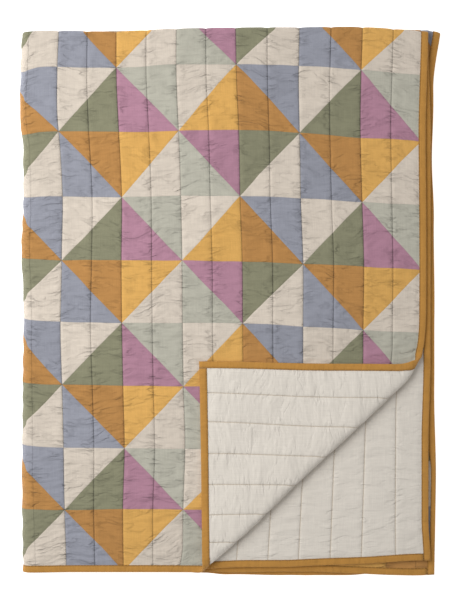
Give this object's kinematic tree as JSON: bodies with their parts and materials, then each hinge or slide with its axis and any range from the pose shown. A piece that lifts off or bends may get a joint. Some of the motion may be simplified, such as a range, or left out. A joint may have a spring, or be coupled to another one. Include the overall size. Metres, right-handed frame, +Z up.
{
  "type": "folded quilt",
  "caption": "Channel-quilted patchwork blanket folded in quarters, bound edges, one corner of the top layer turned back.",
  "frame": {"origin": "on the surface the blanket lies on, below the middle of its bounding box", "axes": "+Z up from the surface, +Y from the open end towards the top fold, +X from the side fold towards the open side"},
  "size_m": [0.6984, 0.9262, 0.0329],
  "materials": {
    "quilted_cotton": "matt washed cotton",
    "binding_cotton": "matt washed cotton"
  },
  "bodies": {
    "root": {"quilt": "quilted_cotton", "binding_right": "binding_cotton", "binding_left": "binding_cotton", "binding_near": "binding_cotton", "binding_far": "binding_cotton"}
  },
  "joints": []
}
